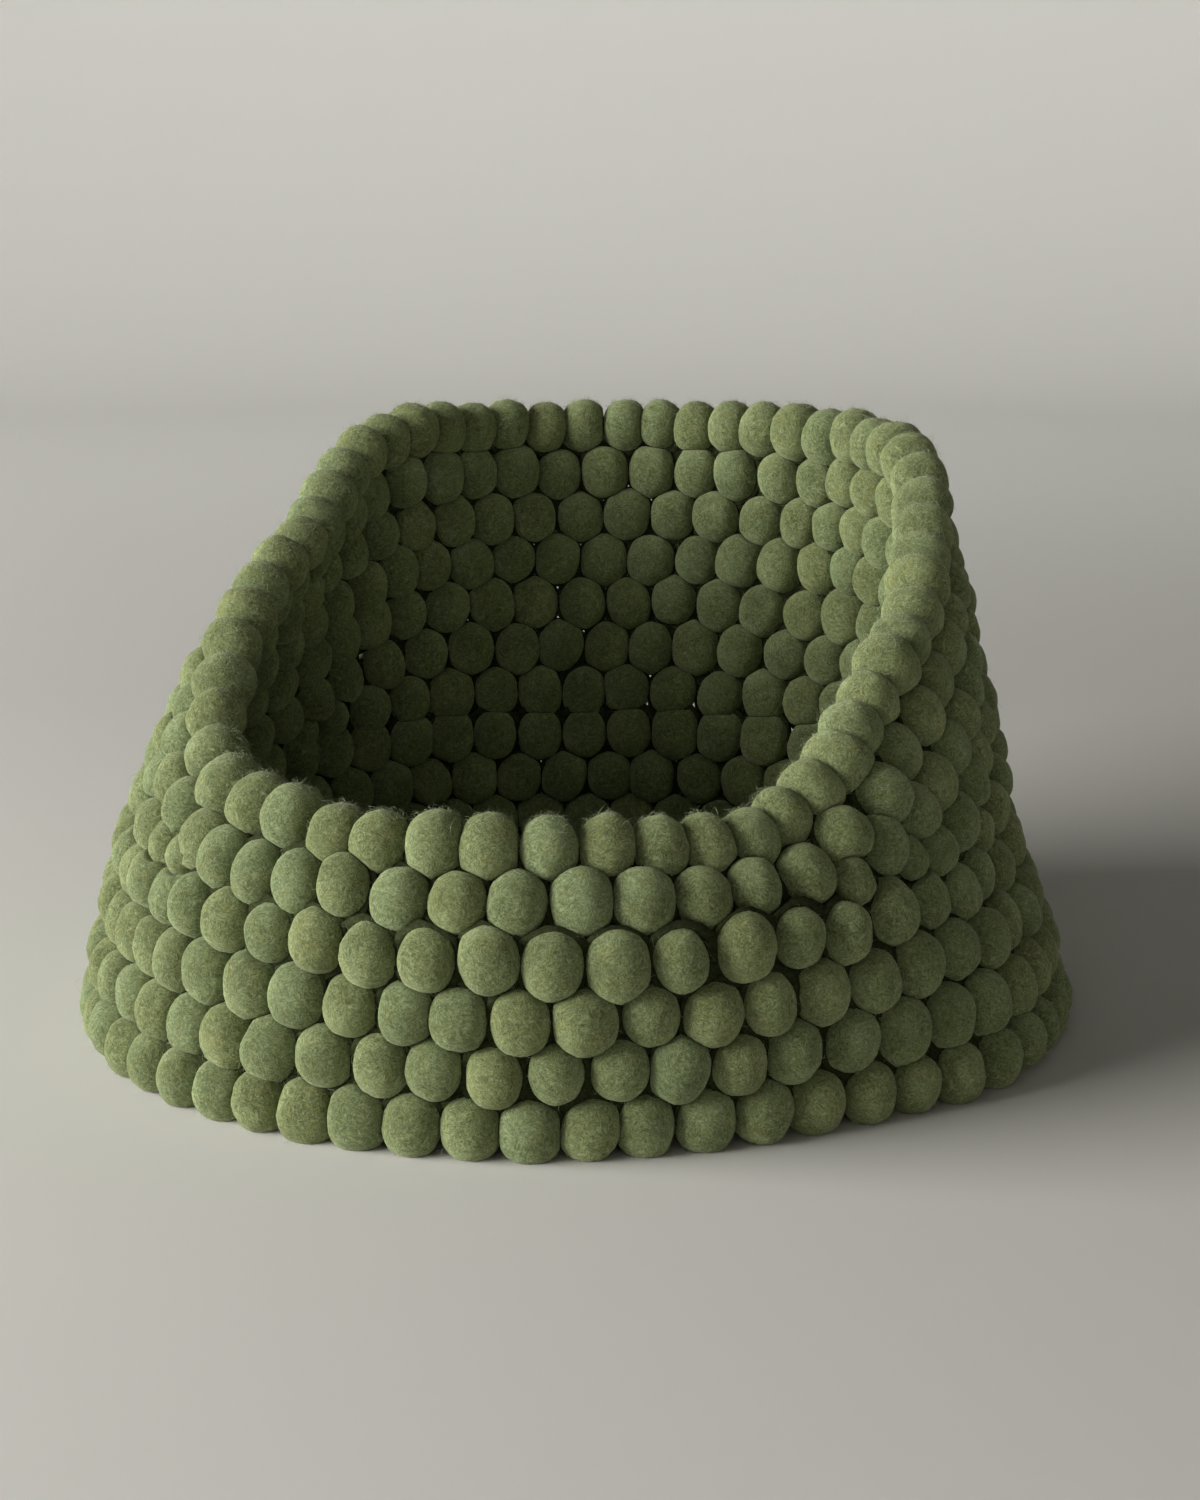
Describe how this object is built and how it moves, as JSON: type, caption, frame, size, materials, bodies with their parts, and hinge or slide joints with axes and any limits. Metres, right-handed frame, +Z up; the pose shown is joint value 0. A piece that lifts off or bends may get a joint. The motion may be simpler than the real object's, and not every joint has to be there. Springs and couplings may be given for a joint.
{
  "type": "felt ball cat basket",
  "caption": "Open pet basket with a wall and floor of felted wool balls sewn together in rows, low at the front where the cat steps in and high at the back.",
  "frame": {"origin": "middle of the footprint, on the surface that the basket stands on", "axes": "+Z up, the low front of the opening faces -Y, +X to the right of someone who faces it"},
  "size_m": [0.4114, 0.4077, 0.2304],
  "materials": {
    "felt": "matt felted wool"
  },
  "bodies": {
    "root": {"foot_row": "felt", "wall_row_2": "felt", "wall_row_3": "felt", "wall_row_4": "felt", "short_row_1": "felt", "short_row_2": "felt", "short_row_3": "felt", "short_row_4": "felt", "short_row_5": "felt", "collar_row": "felt", "rim_row": "felt", "base_ring_1": "felt", "base_ring_2": "felt", "base_ring_3": "felt", "base_ring_4": "felt", "base_ring_5": "felt", "base_ring_6": "felt", "base_ring_7": "felt", "base_ring_8": "felt", "base_middle": "felt"}
  },
  "joints": []
}
